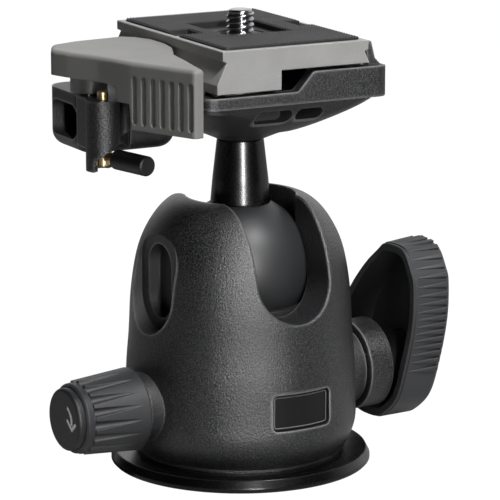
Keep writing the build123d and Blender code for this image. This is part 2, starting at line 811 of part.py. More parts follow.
flute_start = friction_knob_back + flute_back_wall
friction_ring_start = friction_knob_front - friction_ring_length
with BuildPart() as flute:
    with BuildSketch(side_plane(friction_angle, flute_start, friction_height)):
        with Locations((friction_knob_back_radius + flute_lift, 0)):
            Circle(flute_back_radius)
    with BuildSketch(side_plane(friction_angle, friction_ring_start, friction_height)):
        with Locations((friction_knob_front_radius + flute_lift, 0)):
            Circle(flute_front_radius)
    loft()

friction_hub = side_plane(friction_angle, friction_knob_back, friction_height)
friction_axis = Axis(origin=friction_hub.origin, direction=friction_hub.z_dir)
with BuildPart() as friction_knob:
    with BuildSketch(friction_section):
        with BuildLine():
            Polyline(
                (friction_knob_back, friction_height),
                (friction_knob_back, friction_height + friction_knob_back_radius - friction_knob_edge),
                (friction_knob_back + friction_knob_edge, friction_height + friction_knob_back_radius),
                (friction_ring_start, friction_height + friction_knob_front_radius),
                (friction_ring_start, friction_height + friction_ring_radius),
                (friction_knob_front - friction_knob_edge, friction_height + friction_ring_radius),
                (friction_knob_front, friction_height + friction_ring_radius - friction_knob_edge),
                (friction_knob_front, friction_height), close=True,
            )
        make_face()
    revolve(axis=friction_axis)
    for i in range(flute_count):
        add(flute.part.rotate(friction_axis, i * 360 / flute_count), mode=Mode.SUBTRACT)
    with BuildSketch(friction_hub):
        Circle(friction_shank_radius + seat_gap)
    extrude(amount=friction_seat_depth, mode=Mode.SUBTRACT)
    with BuildSketch(side_plane(friction_angle, friction_square_start, friction_height)):
        Rectangle(friction_square + 2 * seat_gap, friction_square + 2 * seat_gap)
    extrude(amount=friction_square_length + seat_gap, mode=Mode.SUBTRACT)
    with BuildSketch(side_plane(friction_angle, friction_knob_front - friction_cap_recess, friction_height)):
        Circle(friction_cap_radius)
    extrude(amount=friction_cap_recess, mode=Mode.SUBTRACT)
save(friction_knob, "friction_knob")

with BuildPart() as friction_cap:
    with BuildSketch(side_plane(friction_angle, friction_knob_front - friction_cap_recess, friction_height)):
        Circle(friction_cap_radius - seat_gap)
    extrude(amount=friction_cap_recess + friction_cap_proud)
    fillet(friction_cap.edges().sort_by(friction_axis)[-1], friction_cap_edge)
save(friction_cap, "friction_cap")

# === camera plate ==============================================================================
plate_side = ((plate_half_width, plate_top), (plate_half_width, plate_top - plate_rim),
              (plate_half_width - plate_groove, plate_top - plate_rim - plate_groove_slope),
              (plate_flare_half, plate_flare_height), (plate_flare_half, plate_bottom))
end_plane = Plane.XZ.offset(-plate_half_length)
with BuildPart() as camera_plate:
    with BuildSketch(end_plane):
        with BuildLine():
            Polyline(*plate_side, (arch_right, plate_bottom), (arch_right, arch_height),
                     (arch_left, arch_height), (arch_left, plate_bottom),
                     *[(-x, z) for x, z in reversed(plate_side)], close=True)
        make_face()
    extrude(amount=2 * plate_half_length)
    fillet(camera_plate.edges().filter_by(Axis.Y).group_by(Axis.Z)[-1], plate_edge)
    with BuildSketch(Plane.XY.offset(pad_bottom)):
        RectangleRounded(2 * (pad_half_width + pad_gap), 2 * (pad_half_length + pad_gap), pad_corner)
    extrude(amount=plate_top, mode=Mode.SUBTRACT)
    with BuildSketch(Plane.XY.offset(screw_well_floor)):
        Circle(screw_well_radius)
    extrude(amount=plate_top, mode=Mode.SUBTRACT)
    with BuildSketch(Plane.XY.offset(plate_bottom)):
        Circle(camera_screw_head_radius + face_gap)
    extrude(amount=arch_height - plate_bottom, mode=Mode.SUBTRACT)
    with Locations((0, 0, plate_top)):
        Hole(camera_screw_radius + running_gap)
    # the front end steps over the tray's raised wall
    with BuildSketch(Plane.XY.offset(plate_bottom)):
        with Locations((arch_left, -plate_half_length)):
            Rectangle(plate_flare_half - arch_left, plate_half_length - cavity_half_length + face_gap,
                      align=(Align.MIN, Align.MIN))
    extrude(amount=arch_height - plate_bottom, mode=Mode.SUBTRACT)
save(camera_plate, "camera_plate")

with BuildPart() as rubber_pad:
    with BuildSketch(Plane.XY.offset(pad_bottom)):
        RectangleRounded(2 * pad_half_width, 2 * pad_half_length, pad_corner)
        with Locations((0, -window_front)):
            Rectangle(2 * window_half_width, window_front + window_rear, align=(Align.CENTER, Align.MIN),
                      mode=Mode.SUBTRACT)
        with Locations((-pad_half_width, 0)):
            Rectangle(2 * pad_notch_left, 2 * pad_notch_half, mode=Mode.SUBTRACT)
        with Locations((pad_half_width, 0)):
            Rectangle(2 * pad_notch_right, 2 * pad_notch_half, mode=Mode.SUBTRACT)
    extrude(amount=pad_thickness)
save(rubber_pad, "rubber_pad")

camera_screw_head_bottom = arch_height - camera_screw_head
thread_start = screw_well_floor + clip_lift + clip_thickness + running_gap
with BuildPart() as camera_screw:
    with BuildSketch(Plane.XY.offset(camera_screw_head_bottom)):
        Circle(camera_screw_head_radius)
    extrude(amount=camera_screw_head)
    with BuildSketch(Plane.XY.offset(arch_height)):
        Circle(camera_screw_neck)
    extrude(amount=thread_start - arch_height)
    with BuildSketch(Plane.XY.offset(thread_start)):
        Circle(camera_screw_radius)
    extrude(amount=pad_top + camera_stud - thread_start)
    chamfer(camera_screw.edges().sort_by(Axis.Z)[-1], camera_screw_edge)
    with BuildSketch(Plane.XY.offset(camera_screw_head_bottom)):
        Rectangle(2 * camera_screw_head_radius, coin_slot_width)
    extrude(amount=coin_slot_depth, mode=Mode.SUBTRACT)
save(camera_screw, "camera_screw")

with BuildPart() as screw_clip:
    with BuildSketch(Plane.XY.offset(screw_well_floor + clip_lift)):
        Circle(clip_radius)
        Circle(camera_screw_neck + running_gap, mode=Mode.SUBTRACT)
    extrude(amount=clip_thickness)
save(screw_clip, "screw_clip")

# === quick release platform ========================================================================
with BuildPart() as block:
    with BuildSketch(Plane.XY.offset(block_bottom)):
        with Locations(((block_left + block_right) / 2, (block_front + block_rear) / 2)):
            RectangleRounded(block_right - block_left, block_rear - block_front, block_corner)
    extrude(amount=block_height)
    fillet(block.faces().sort_by(Axis.Z)[0].edges(), block_edge)
    # scoop out of the side under the lever
    with BuildSketch(Plane(origin=(block_left, 0, 0), x_dir=(0, 1, 0), z_dir=(1, 0, 0))):
        with Locations((block_front + scoop_end_wall, block_bottom + scoop_foot_wall)):
            RectangleRounded(block_rear - block_front - 2 * scoop_end_wall,
                             block_height - scoop_foot_wall - scoop_roof_wall, scoop_corner,
                             align=(Align.MIN, Align.MIN))
    extrude(amount=scoop_depth, mode=Mode.SUBTRACT)

cam_climb = Plane(
    origin=(boss_x, boss_y, 0),
    x_dir=(cos(radians(cam_angle)), sin(radians(cam_angle)), 0),
    z_dir=(sin(radians(cam_angle)), -cos(radians(cam_angle)), 0),
)
boss_reach = 2 * boss_radius
cam_middle = boss_bottom + cam_rise
with BuildPart() as cam_cut:
    with BuildSketch(cam_climb):
        Polygon((-boss_reach, boss_bottom - through), (boss_reach, boss_bottom - through),
                (boss_reach, cam_middle + cam_slope * boss_reach),
                (-boss_reach, cam_middle - cam_slope * boss_reach), align=None)
    extrude(amount=boss_reach, both=True)
    with BuildSketch(Plane.XY.offset(boss_bottom - through)):
        with Locations((boss_x, boss_y)):
            with Locations(Location((0, 0, 0), (0, 0, cam_step_angle))):
                Rectangle(4 * boss_reach, 2 * boss_reach, align=(Align.CENTER, Align.MIN))
    extrude(amount=4 * boss_reach, mode=Mode.INTERSECT)

bowl_foot_side = [(r, stem_top + z) for r, z in bowl_foot]
jaw_inner = ((cavity_right, tray_high_top - jaw_hold), (cavity_right, plate_flare_height),
             (jaw_tip, plate_top - plate_rim))
web_bottom = boss_bottom + web_rise
web_left = boss_x - boss_radius + web_side
with BuildPart() as platform:
    # tray whose right half stands higher, with a ramp between
    with BuildSketch(Plane.XZ.offset(-tray_half_length)):
        with BuildLine():
            FilletPolyline((tray_left, tray_bottom), (tray_right, tray_bottom), (tray_right, tray_high_top),
                           (ramp_end, tray_high_top), (ramp_start, tray_low_top),
                           (tray_left, tray_low_top), close=True, radius=ramp_round)
        make_face()
    extrude(amount=2 * tray_half_length)
    with BuildSketch(Plane.XY.offset(tray_bottom)):
        with Locations((tray_middle, 0)):
            RectangleRounded(tray_right - tray_left, 2 * tray_half_length, tray_corner)
    extrude(amount=tray_high_top - tray_bottom, mode=Mode.INTERSECT)
    # bowl under the tray, drawn in to the stem
    for height, middle, width, length, corner in bowl_sections:
        with BuildSketch(Plane.XY.offset(stem_top + height)):
            with Locations((middle, 0)):
                RectangleRounded(width, length, corner)
    with BuildSketch(Plane.XY.offset(tray_bottom + bowl_overlap)):
        with Locations((tray_middle, 0)):
            RectangleRounded(tray_right - tray_left - 2 * bowl_brim_inset,
                             2 * (tray_half_length - bowl_brim_inset), bowl_brim_corner)
    loft()
    with BuildSketch(Plane.XZ):
        Polygon((0, bowl_foot_side[0][1]), *bowl_foot_side, (0, bowl_foot_side[-1][1]), align=None)
    revolve(axis=Axis.Z)
    add(block.part)
    # boss of the safety catch, tied to the block by a web and a slim column
    with BuildSketch(Plane.XY.offset(boss_bottom)):
        with Locations((boss_x, boss_y)):
            Circle(boss_radius)
    extrude(amount=block_top - boss_bottom)
    with BuildSketch(Plane.XY.offset(web_bottom)):
        Polygon((web_left, boss_y), (web_left + web_draft, block_front + web_bite),
                (column_x, block_front + web_bite), (column_x, column_y), (boss_x, boss_y), align=None)
        with Locations((column_x, column_y)):
            Circle(column_radius)
            Rectangle(2 * column_radius, block_front + web_bite - column_y, align=(Align.CENTER, Align.MIN))
    extrude(amount=block_top - web_bottom)
    add(cam_cut.part, mode=Mode.SUBTRACT)
    with BuildSketch(Plane.XY.offset(boss_bottom)):
        with Locations((boss_x, boss_y)):
            Circle(boss_bore_radius)
    extrude(amount=boss_bore_depth, mode=Mode.SUBTRACT)
    with BuildSketch(Plane.XY.offset(boss_bottom)):
        with Locations((boss_x, boss_y)):
            Circle(pin_radius + running_gap)
    extrude(amount=block_top - boss_bottom, mode=Mode.SUBTRACT)
    with BuildSketch(Plane.XY.offset(lever_pin_bottom)):
        with Locations((lever_x, lever_y)):
            Circle(lever_pin_radius + seat_gap)
    extrude(amount=block_top - lever_pin_bottom, mode=Mode.SUBTRACT)
    # room for the plate's feet, open to the rear so the plate can leave
    with BuildSketch(Plane.XY.offset(tray_floor)):
        with Locations(((cavity_left + cavity_right) / 2, 0)):
            RectangleRounded(cavity_right - cavity_left, 2 * cavity_half_length, cavity_corner)
    extrude(amount=tray_high_top - tray_floor, mode=Mode.SUBTRACT)
    with BuildSketch(Plane.XY.offset(rear_wall_top)):
        with Locations(((cavity_left + cavity_right) / 2, tray_half_length)):
            Rectangle(cavity_right - cavity_left, 4 * (tray_half_length - cavity_half_length))
    extrude(amount=tray_high_top - rear_wall_top, mode=Mode.SUBTRACT)
    # fixed jaw
    with BuildSketch(Plane.XZ.offset(-jaw_half_length)):
        Polygon((jaw_tip, jaw_top), (jaw_tip + jaw_crest, jaw_top),
                (jaw_tip + jaw_shoulder, jaw_top - jaw_shoulder_drop), (jaw_tip + jaw_root, tray_high_top),
                (jaw_tip + jaw_root, tray_high_top - jaw_hold), *jaw_inner, align=None)
    extrude(amount=2 * jaw_half_length)
    # socket on the stem, and the screw's hole
    with BuildSketch(Plane.XY.offset(stem_top)):
        Circle(stem_spigot_radius + running_gap)
    extrude(amount=stem_spigot + running_gap, mode=Mode.SUBTRACT)
    with Locations((0, 0, tray_floor)):
        CounterBoreHole(screw_radius + running_gap, screw_head_radius + face_gap, screw_head_depth)
    # well of the trip button
    with BuildSketch(Plane.XY.offset(button_well_bottom)):
        with Locations((button_x, button_y)):
            Circle(button_flange + running_gap)
    extrude(amount=tray_floor - button_well_bottom, mode=Mode.SUBTRACT)
    for left, right, low, high, depth in bowl_pockets:
        with BuildSketch(Plane.XZ.offset(tray_half_length - depth)):
            with Locations(((left + right) / 2, tray_bottom + (low + high) / 2)):
                RectangleRounded(right - left, high - low, (high - low) * bowl_pocket_ratio)
        extrude(amount=depth, mode=Mode.SUBTRACT)
save(platform, "platform")

with BuildPart() as platform_screw:
    with BuildSketch(Plane.XY.offset(tray_floor - screw_head_depth)):
        Circle(screw_head_radius)
    extrude(amount=screw_head_depth - screw_head_sink)
    with BuildSketch(Plane.XY.offset(tray_floor - screw_head_sink)):
        RegularPolygon(screw_socket, 6)
    extrude(amount=-screw_socket_depth, mode=Mode.SUBTRACT)
    with BuildSketch(Plane.XY.offset(tray_floor - screw_head_depth)):
        Circle(screw_radius)
    extrude(amount=-screw_length)
save(platform_screw, "platform_screw")

with BuildPart() as trip_button:
    with BuildSketch(Plane.XY.offset(button_flange_top - button_flange_thickness)):
        with Locations((button_x, button_y)):
            Circle(button_flange)
    extrude(amount=button_flange_thickness)
    with BuildSketch(Plane.XY.offset(button_flange_top)):
        with Locations((button_x, button_y)):
            Circle(button_radius)
    extrude(amount=button_top - button_flange_top)
    fillet(trip_button.edges().sort_by(Axis.Z)[-1], button_edge)
save(trip_button, "trip_button")

with BuildPart() as trip_ring:
    with BuildSketch(Plane.XY.offset(tray_floor - button_ring_thickness)):
        with Locations((button_x, button_y)):
            Circle(button_flange + running_gap - seat_gap)
            Circle(button_radius + running_gap, mode=Mode.SUBTRACT)
    extrude(amount=button_ring_thickness)
save(trip_ring, "trip_ring")

spring_base = button_well_bottom + spring_wire_radius
spring_height = button_flange_top - button_flange_thickness - button_well_bottom - 2 * spring_wire_radius
spring_radius = button_radius - spring_wire_radius
with BuildPart() as trip_spring:
    with BuildLine(Plane(origin=(button_x, button_y, spring_base))) as spring_path:
        Helix(pitch=spring_height / spring_turns, height=spring_height, radius=spring_radius)
    with BuildSketch(Plane(origin=spring_path.line @ 0, z_dir=spring_path.line % 0)):
        Circle(spring_wire_radius)
    sweep(is_frenet=True)
save(trip_spring, "trip_spring")

# === safety catch ===================================================================================
with BuildPart() as safety_pin:
    with BuildSketch(Plane.XY.offset(hub_bottom - pin_foot)):
        with Locations((boss_x, boss_y)):
            Circle(pin_radius)
    extrude(amount=block_top + pin_proud - hub_bottom + pin_foot)
    chamfer(safety_pin.edges().sort_by(Axis.Z)[-1], pin_edge)
save(safety_pin, "safety_pin")

handle_out = side_plane(handle_angle, 0, 0).z_dir
with BuildPart() as safety_hub:
    with BuildSketch(Plane.XY.offset(hub_bottom)):
        with Locations((boss_x, boss_y)):
            Circle(hub_radius)
    extrude(amount=hub_top - hub_bottom)
    with BuildSketch(Plane(origin=(boss_x, boss_y, handle_height), z_dir=handle_out)):
        Circle(handle_neck_radius)
    extrude(amount=handle_sleeve_start + handle_bite)
    with BuildSketch(Plane.XY.offset(hub_bottom)):
        with Locations((boss_x, boss_y)):
            Circle(pin_radius + running_gap)
    extrude(amount=hub_top - hub_bottom, mode=Mode.SUBTRACT)
save(safety_hub, "safety_hub")

sleeve_foot = Vector(boss_x, boss_y, handle_height) + handle_out * handle_sleeve_start
sleeve_axis = Axis(origin=sleeve_foot, direction=handle_out)
with BuildPart() as safety_sleeve:
    with BuildSketch(Plane(origin=sleeve_foot, z_dir=handle_out)):
        Circle(handle_radius)
    extrude(amount=handle_length - handle_sleeve_start)
    fillet(safety_sleeve.edges().sort_by(sleeve_axis)[-1], handle_edge)
    chamfer(safety_sleeve.edges().sort_by(sleeve_axis)[0], handle_back_edge)
    with BuildSketch(Plane(origin=sleeve_foot, z_dir=handle_out)):
        Circle(handle_neck_radius + seat_gap)
    extrude(amount=handle_bite + seat_gap, mode=Mode.SUBTRACT)
save(safety_sleeve, "safety_sleeve")

# === lever ============================================================================================
with BuildPart() as lever_pin:
    with BuildSketch(Plane.XY.offset(lever_pin_bottom)):
        with Locations((lever_x, lever_y)):
            Circle(lever_pin_radius)
    extrude(amount=lever_plate_bottom - lever_pin_bottom)
save(lever_pin, "lever_pin")

pad_along = Vector(pad_line_end[0] - pad_line_start[0], pad_line_end[1] - pad_line_start[1], 0).normalized()
pad_plane = Plane(origin=(lever_x + pad_line_start[0], lever_y + pad_line_start[1], 0),
                  x_dir=pad_along, z_dir=(pad_along.Y, -pad_along.X, 0))
groove_middle = lever_pad_bottom + groove_rise + groove_length / 2
lever_corners = [((lever_x + x, lever_y + y), corner_radius) for (x, y), corner_radius in lever_outline]
with BuildPart() as lever:
    with BuildSketch(Plane.XY.offset(lever_pad_bottom)) as lever_shape:
        with BuildLine():
            Polyline(*[point for point, _ in lever_corners], close=True)
        make_face()
        for point, corner_radius in lever_corners:
            fillet(lever_shape.vertices().sort_by_distance((*point, lever_pad_bottom))[0], corner_radius)
    extrude(amount=lever_top - lever_pad_bottom)
    fillet(lever.faces().sort_by(Axis.Z)[-1].edges(), lever_edge)
    with BuildSketch(Plane.XY.offset(lever_pad_bottom)):
        Polygon(*[(lever_x + x, lever_y + y) for x, y in lever_hollow], align=None)
    extrude(amount=lever_plate_bottom - lever_pad_bottom, mode=Mode.SUBTRACT)
    # lower edge: skirt, step, then the thumb pad
    with BuildSketch(pad_plane):
        with BuildLine():
            FilletPolyline((-lever_far, lever_skirt_bottom), (-lever_step_length, lever_skirt_bottom),
                           (-lever_step_length + lever_step_draft, lever_step_bottom), (0, lever_step_bottom),
                           (lever_step_draft, lever_pad_bottom), (-lever_far, lever_pad_bottom - lever_edge),
                           close=True, radius=lever_step_round)
        make_face()
    extrude(amount=lever_far, both=True, mode=Mode.SUBTRACT)
    # thumb grooves
    with BuildSketch(pad_plane.offset(through)):
        for i in range(groove_count):
            with Locations((groove_first + i * groove_pitch, groove_middle)):
                SlotOverall(groove_length, groove_width, rotation=90)
    extrude(amount=-through - groove_depth, mode=Mode.SUBTRACT)
    with BuildSketch(Plane.XY.offset(lever_hub_bottom)):
        with Locations((lever_x, lever_y)):
            Circle(lever_hub_radius)
    extrude(amount=lever_plate_bottom - lever_hub_bottom)
    with BuildSketch(Plane.XY.offset(lever_hub_bottom)):
        with Locations((lever_x, lever_y)):
            Circle(lever_pin_radius + running_gap)
    extrude(amount=lever_plate_bottom + face_gap - lever_hub_bottom, mode=Mode.SUBTRACT)
    # clamping face, the mirror of the fixed jaw's
    with BuildSketch(Plane.XZ.offset(-tray_half_length)):
        Polygon((0, lever_pad_bottom), (-cavity_right, lever_pad_bottom), *[(-x, z) for x, z in jaw_inner],
                (-jaw_tip, lever_top + through), (0, lever_top + through), align=None)
    extrude(amount=2 * tray_half_length, mode=Mode.SUBTRACT)
save(lever, "lever")
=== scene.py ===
import bpy
import bmesh
import json
import math
from mathutils import Matrix, Vector
from mathutils.bvhtree import BVHTree
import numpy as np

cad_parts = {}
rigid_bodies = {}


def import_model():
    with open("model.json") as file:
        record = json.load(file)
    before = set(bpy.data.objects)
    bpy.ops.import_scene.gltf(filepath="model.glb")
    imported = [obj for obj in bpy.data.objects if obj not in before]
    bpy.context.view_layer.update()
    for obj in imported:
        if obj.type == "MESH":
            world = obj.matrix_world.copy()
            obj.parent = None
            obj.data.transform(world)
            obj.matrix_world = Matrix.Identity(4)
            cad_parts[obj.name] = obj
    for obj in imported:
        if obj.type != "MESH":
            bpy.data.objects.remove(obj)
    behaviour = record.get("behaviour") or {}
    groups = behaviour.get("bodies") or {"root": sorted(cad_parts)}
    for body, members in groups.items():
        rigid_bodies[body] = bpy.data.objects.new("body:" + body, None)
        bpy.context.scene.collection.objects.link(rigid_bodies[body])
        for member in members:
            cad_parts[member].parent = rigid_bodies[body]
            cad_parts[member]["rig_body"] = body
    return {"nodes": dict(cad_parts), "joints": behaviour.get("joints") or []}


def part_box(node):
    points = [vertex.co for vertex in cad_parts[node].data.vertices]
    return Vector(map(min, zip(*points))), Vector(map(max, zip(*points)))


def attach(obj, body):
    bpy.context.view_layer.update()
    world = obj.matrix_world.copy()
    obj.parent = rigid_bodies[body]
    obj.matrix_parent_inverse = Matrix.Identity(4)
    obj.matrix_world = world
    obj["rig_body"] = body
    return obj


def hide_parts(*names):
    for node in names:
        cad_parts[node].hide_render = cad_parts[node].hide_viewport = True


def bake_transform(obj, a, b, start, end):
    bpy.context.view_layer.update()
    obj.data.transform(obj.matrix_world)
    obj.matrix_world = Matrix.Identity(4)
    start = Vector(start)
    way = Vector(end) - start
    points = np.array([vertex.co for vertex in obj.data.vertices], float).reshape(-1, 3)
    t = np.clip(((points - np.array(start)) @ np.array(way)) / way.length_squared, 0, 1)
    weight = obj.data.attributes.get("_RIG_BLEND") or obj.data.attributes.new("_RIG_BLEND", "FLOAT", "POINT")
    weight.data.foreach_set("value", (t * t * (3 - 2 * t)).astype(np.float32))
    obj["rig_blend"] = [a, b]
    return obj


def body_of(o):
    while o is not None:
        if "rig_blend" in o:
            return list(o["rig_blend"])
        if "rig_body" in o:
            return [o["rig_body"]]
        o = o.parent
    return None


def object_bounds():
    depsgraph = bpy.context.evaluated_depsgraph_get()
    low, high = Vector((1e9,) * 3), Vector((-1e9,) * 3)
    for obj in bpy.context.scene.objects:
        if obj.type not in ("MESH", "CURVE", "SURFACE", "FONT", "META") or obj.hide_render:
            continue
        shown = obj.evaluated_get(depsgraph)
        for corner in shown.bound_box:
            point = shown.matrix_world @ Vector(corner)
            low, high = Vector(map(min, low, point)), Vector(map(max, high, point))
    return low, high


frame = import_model()
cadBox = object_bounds()
nodes = frame["nodes"]
joints = {joint["name"]: joint for joint in frame["joints"]}
mm = 0.001
up = Vector((0, 0, 1))
print("stage: frame loaded")

# angles in degrees, places in metres, lens and sensor in millimetres
cameraView = {"azimuth": -28.06, "elevation": 12.74, "distance": 0.71195, "slide": 0.00221,
              "aimHeight": 0.0491, "lens": 223.73, "sensor": 36, "near": 0.01, "far": 20}


def outward(azimuth, elevation):  # the way from the object to a camera or lamp, in degrees
    az, el = math.radians(azimuth), math.radians(elevation)
    return Vector((math.sin(az) * math.cos(el), -math.cos(az) * math.cos(el), math.sin(el)))


def facing(way, place):  # a camera or lamp looks back along its way
    return Matrix.Translation(place) @ way.to_track_quat("Z", "Y").to_matrix().to_4x4()


def makeCamera(look):
    az = math.radians(look["azimuth"])
    right = Vector((math.cos(az), math.sin(az), 0))
    way = outward(look["azimuth"], look["elevation"])
    aim = right * look["slide"] + up * look["aimHeight"]
    data = bpy.data.cameras.new("studioCamera")
    data.sensor_width = look["sensor"]
    data.lens = look["lens"]
    data.clip_start = look["near"]
    data.clip_end = look["far"]
    camera = bpy.data.objects.new("studioCamera", data)
    camera.matrix_world = facing(way, aim + way * look["distance"])
    bpy.context.scene.collection.objects.link(camera)
    bpy.context.scene.camera = camera


makeCamera(cameraView)


class Wire:  # one output socket; sums and products on it add Math nodes
    def __init__(self, shader, socket):
        self.shader = shader
        self.socket = socket

    def math(self, operation, first, second):
        return self.shader.node("ShaderNodeMath", {0: first, 1: second}, operation=operation)

    def __add__(self, other):
        return self.math("ADD", self, other)

    def __sub__(self, other):
        return self.math("SUBTRACT", self, other)

    def __rsub__(self, other):
        return self.math("SUBTRACT", other, self)

    def __mul__(self, other):
        return self.math("MULTIPLY", self, other)

    def __or__(self, other):  # the larger of two
        return self.math("MAXIMUM", self, other)

    __radd__ = __add__
    __rmul__ = __mul__
    __ror__ = __or__

    def spread(self, low, high, newLow=0.0, newHigh=1.0):
        return self.shader.node("ShaderNodeMapRange", {
            "Value": self, "From Min": low, "From Max": high, "To Min": newLow, "To Max": newHigh})


class Shader:  # a material or the world being built
    def __init__(self, tree, kind="Material"):
        self.tree = tree
        self.tree.nodes.clear()
        self.out = self.tree.nodes.new(f"ShaderNodeOutput{kind}")

    def node(self, kind, values=None, output=0, **settings):
        made = self.tree.nodes.new(kind)
        for key, value in settings.items():
            setattr(made, key, value)
        for key, value in (values or {}).items():
            if isinstance(value, Wire):
                self.tree.links.new(value.socket, made.inputs[key])
            else:
                made.inputs[key].default_value = value
        return Wire(self, made.outputs[output])

    def show(self, wire):
        self.tree.links.new(wire.socket, self.out.inputs[0])

    def place(self, stretch=(1, 1, 1)):  # a point's own place in metres, drawn out by the stretch
        spot = self.node("ShaderNodeTexCoord", output="Object")
        return self.node("ShaderNodeMapping", {"Vector": spot, "Scale": stretch},
                         vector_type="TEXTURE")

    def noise(self, spot, scale, detail=2.0, rough=0.5):
        return self.node("ShaderNodeTexNoise", {
            "Vector": spot, "Scale": scale, "Detail": detail, "Roughness": rough})

    def blend(self, mask, first, second):  # 6 and 7 are the Mix node's colours, 2 their mix
        return self.node("ShaderNodeMix", {0: mask, 6: first, 7: second}, output=2,
                         data_type="RGBA")

    def along(self, first, second):  # how far one vector reaches along another
        return self.node("ShaderNodeVectorMath", {0: first, 1: second}, output="Value",
                         operation="DOT_PRODUCT")

    def edges(self, radius, low=0.02, high=0.2):  # 0 on flat faces, 1 on sharp corners
        rounded = self.node("ShaderNodeBevel", {"Radius": radius}, samples=4)
        flat = self.node("ShaderNodeNewGeometry", output="Normal")
        return (1 - self.along(rounded, flat)).spread(low, high), rounded

    def nearness(self, distance, inside=False):  # near 1 in hollows, or on ridges from the inside
        return 1 - self.node("ShaderNodeAmbientOcclusion", {"Distance": distance}, output="AO",
                             samples=8, inside=inside, only_local=True)

    def bump(self, height, strength, distance, normal):
        return self.node("ShaderNodeBump", {
            "Strength": strength, "Distance": distance, "Height": height, "Normal": normal})

    def surface(self, **values):
        names = {"color": "Base Color", "rough": "Roughness", "metal": "Metallic",
                 "normal": "Normal", "specular": "Specular IOR Level"}
        self.show(self.node("ShaderNodeBsdfPrincipled", {
            names[key]: value for key, value in values.items()}))


warmSteps = (6, 3, -6)  # what a warmth of 1 adds to red, green and blue, in steps of 255
middleSpan = (0.3, 0.7)  # most of a noise lies between these
sumSpan = (0.7, 1.3)  # and most of two noises added
black = (0, 0, 0, 1)
white = (1, 1, 1, 1)


def linear(share):  # a screen's shade from 0 to 1, as the shaders take it
    return share / 12.92 if share <= 0.04045 else ((share + 0.055) / 1.055) ** 2.4


def grey(level, warm=0.0):  # a shade on the 0 to 255 scale, a little warm or cool
    return (*[linear(max(level + warm * step, 0) / 255) for step in warmSteps], 1)


def newFinish(name):
    material = bpy.data.materials.new(name)
    material.use_nodes = True
    return material, Shader(material.node_tree)


def roughSpan(look):  # from the glossiest to the dullest
    return [look["rough"] + step for step in look["roughSteps"]]


def speckledCoat(name, look):  # sprayed coat with a fine pebbled grain
    material, s = newFinish(name)
    spot = s.place()
    grain = s.noise(spot, look["grain"], detail=3.0, rough=0.7)
    pebble = s.noise(spot, look["pebble"])
    broad = s.noise(spot, look["patch"], detail=3.0)
    corner, rounded = s.edges(look["corner"])
    shade = s.blend(grain.spread(*look["flecks"]), look["dark"], look["fleck"])
    shade = s.blend(broad.spread(*look["patches"]), shade, look["dark"])
    # edge wear and painted highlight: the coat turns lighter along ridges and sharp corners
    ridge = s.nearness(look["ridge"], inside=True).spread(*look["ridges"]) | corner
    shade = s.blend(ridge * look["wearAndSheen"], shade, look["wornAndSheen"])
    # painted shade: the coat goes towards black in hollows, pockets and notches, where shade falls
    hollow = s.nearness(look["hollow"]).spread(*look["hollows"])
    shade = s.blend(hollow * look["shadow"], shade, black)
    lump = s.bump(grain + pebble, look["bump"], look["relief"], rounded)
    rough = grain.spread(*middleSpan, *roughSpan(look)) - ridge * look["polish"]
    rough = rough + hollow * look["dull"]
    s.surface(color=shade, rough=rough, normal=lump, specular=look["specular"])
    return material


def satinPaint(name, look):  # smooth paint or moulded plastic
    material, s = newFinish(name)
    spot = s.place()
    grain = s.noise(spot, look["grain"], rough=0.6)
    broad = s.noise(spot, look["patch"], detail=3.0, rough=0.55)
    corner, rounded = s.edges(look["corner"])
    shade = s.blend(broad.spread(*middleSpan), look["color"], look["second"])
    shade = s.blend(grain.spread(*look["specks"], 0.0, look["dust"]), shade, look["wornAndSheen"])
    # edge wear and painted highlight: lighter along sharp corners
    shade = s.blend(corner * look["wearAndSheen"], shade, look["wornAndSheen"])
    if "grooves" in look:  # painted shade: the heights from a knurl's grooves, painted dark, to its tips in its own shade
        height = s.node("ShaderNodeSeparateXYZ", {0: spot}, output="Z")
        shade = s.blend(height.spread(*look["grooves"], look["shadow"], 0.0), shade, look["deep"])
    lump = s.bump(grain, look["bump"], look["relief"], rounded)
    rough = (broad + grain).spread(*sumSpan, *roughSpan(look))
    s.surface(color=shade, rough=rough, normal=lump, specular=look["specular"])
    return material


def turnedMetal(name, look):  # fine lathe lines round the stretch
    material, s = newFinish(name)
    lines = s.noise(s.place(look["stretch"]), look["grain"], detail=3.0, rough=0.6)
    broad = s.noise(s.place(), look["patch"])
    corner, rounded = s.edges(look["corner"])
    shade = s.blend(lines.spread(*middleSpan), look["color"], look["second"])
    # edge wear and painted highlight: lighter along sharp corners
    shade = s.blend(corner * look["wearAndSheen"], shade, look["wornAndSheen"])
    lump = s.bump(lines, look["bump"], look["relief"], rounded)
    rough = broad.spread(*middleSpan, *roughSpan(look))
    s.surface(color=shade, rough=rough, metal=1.0, normal=lump)
    return material


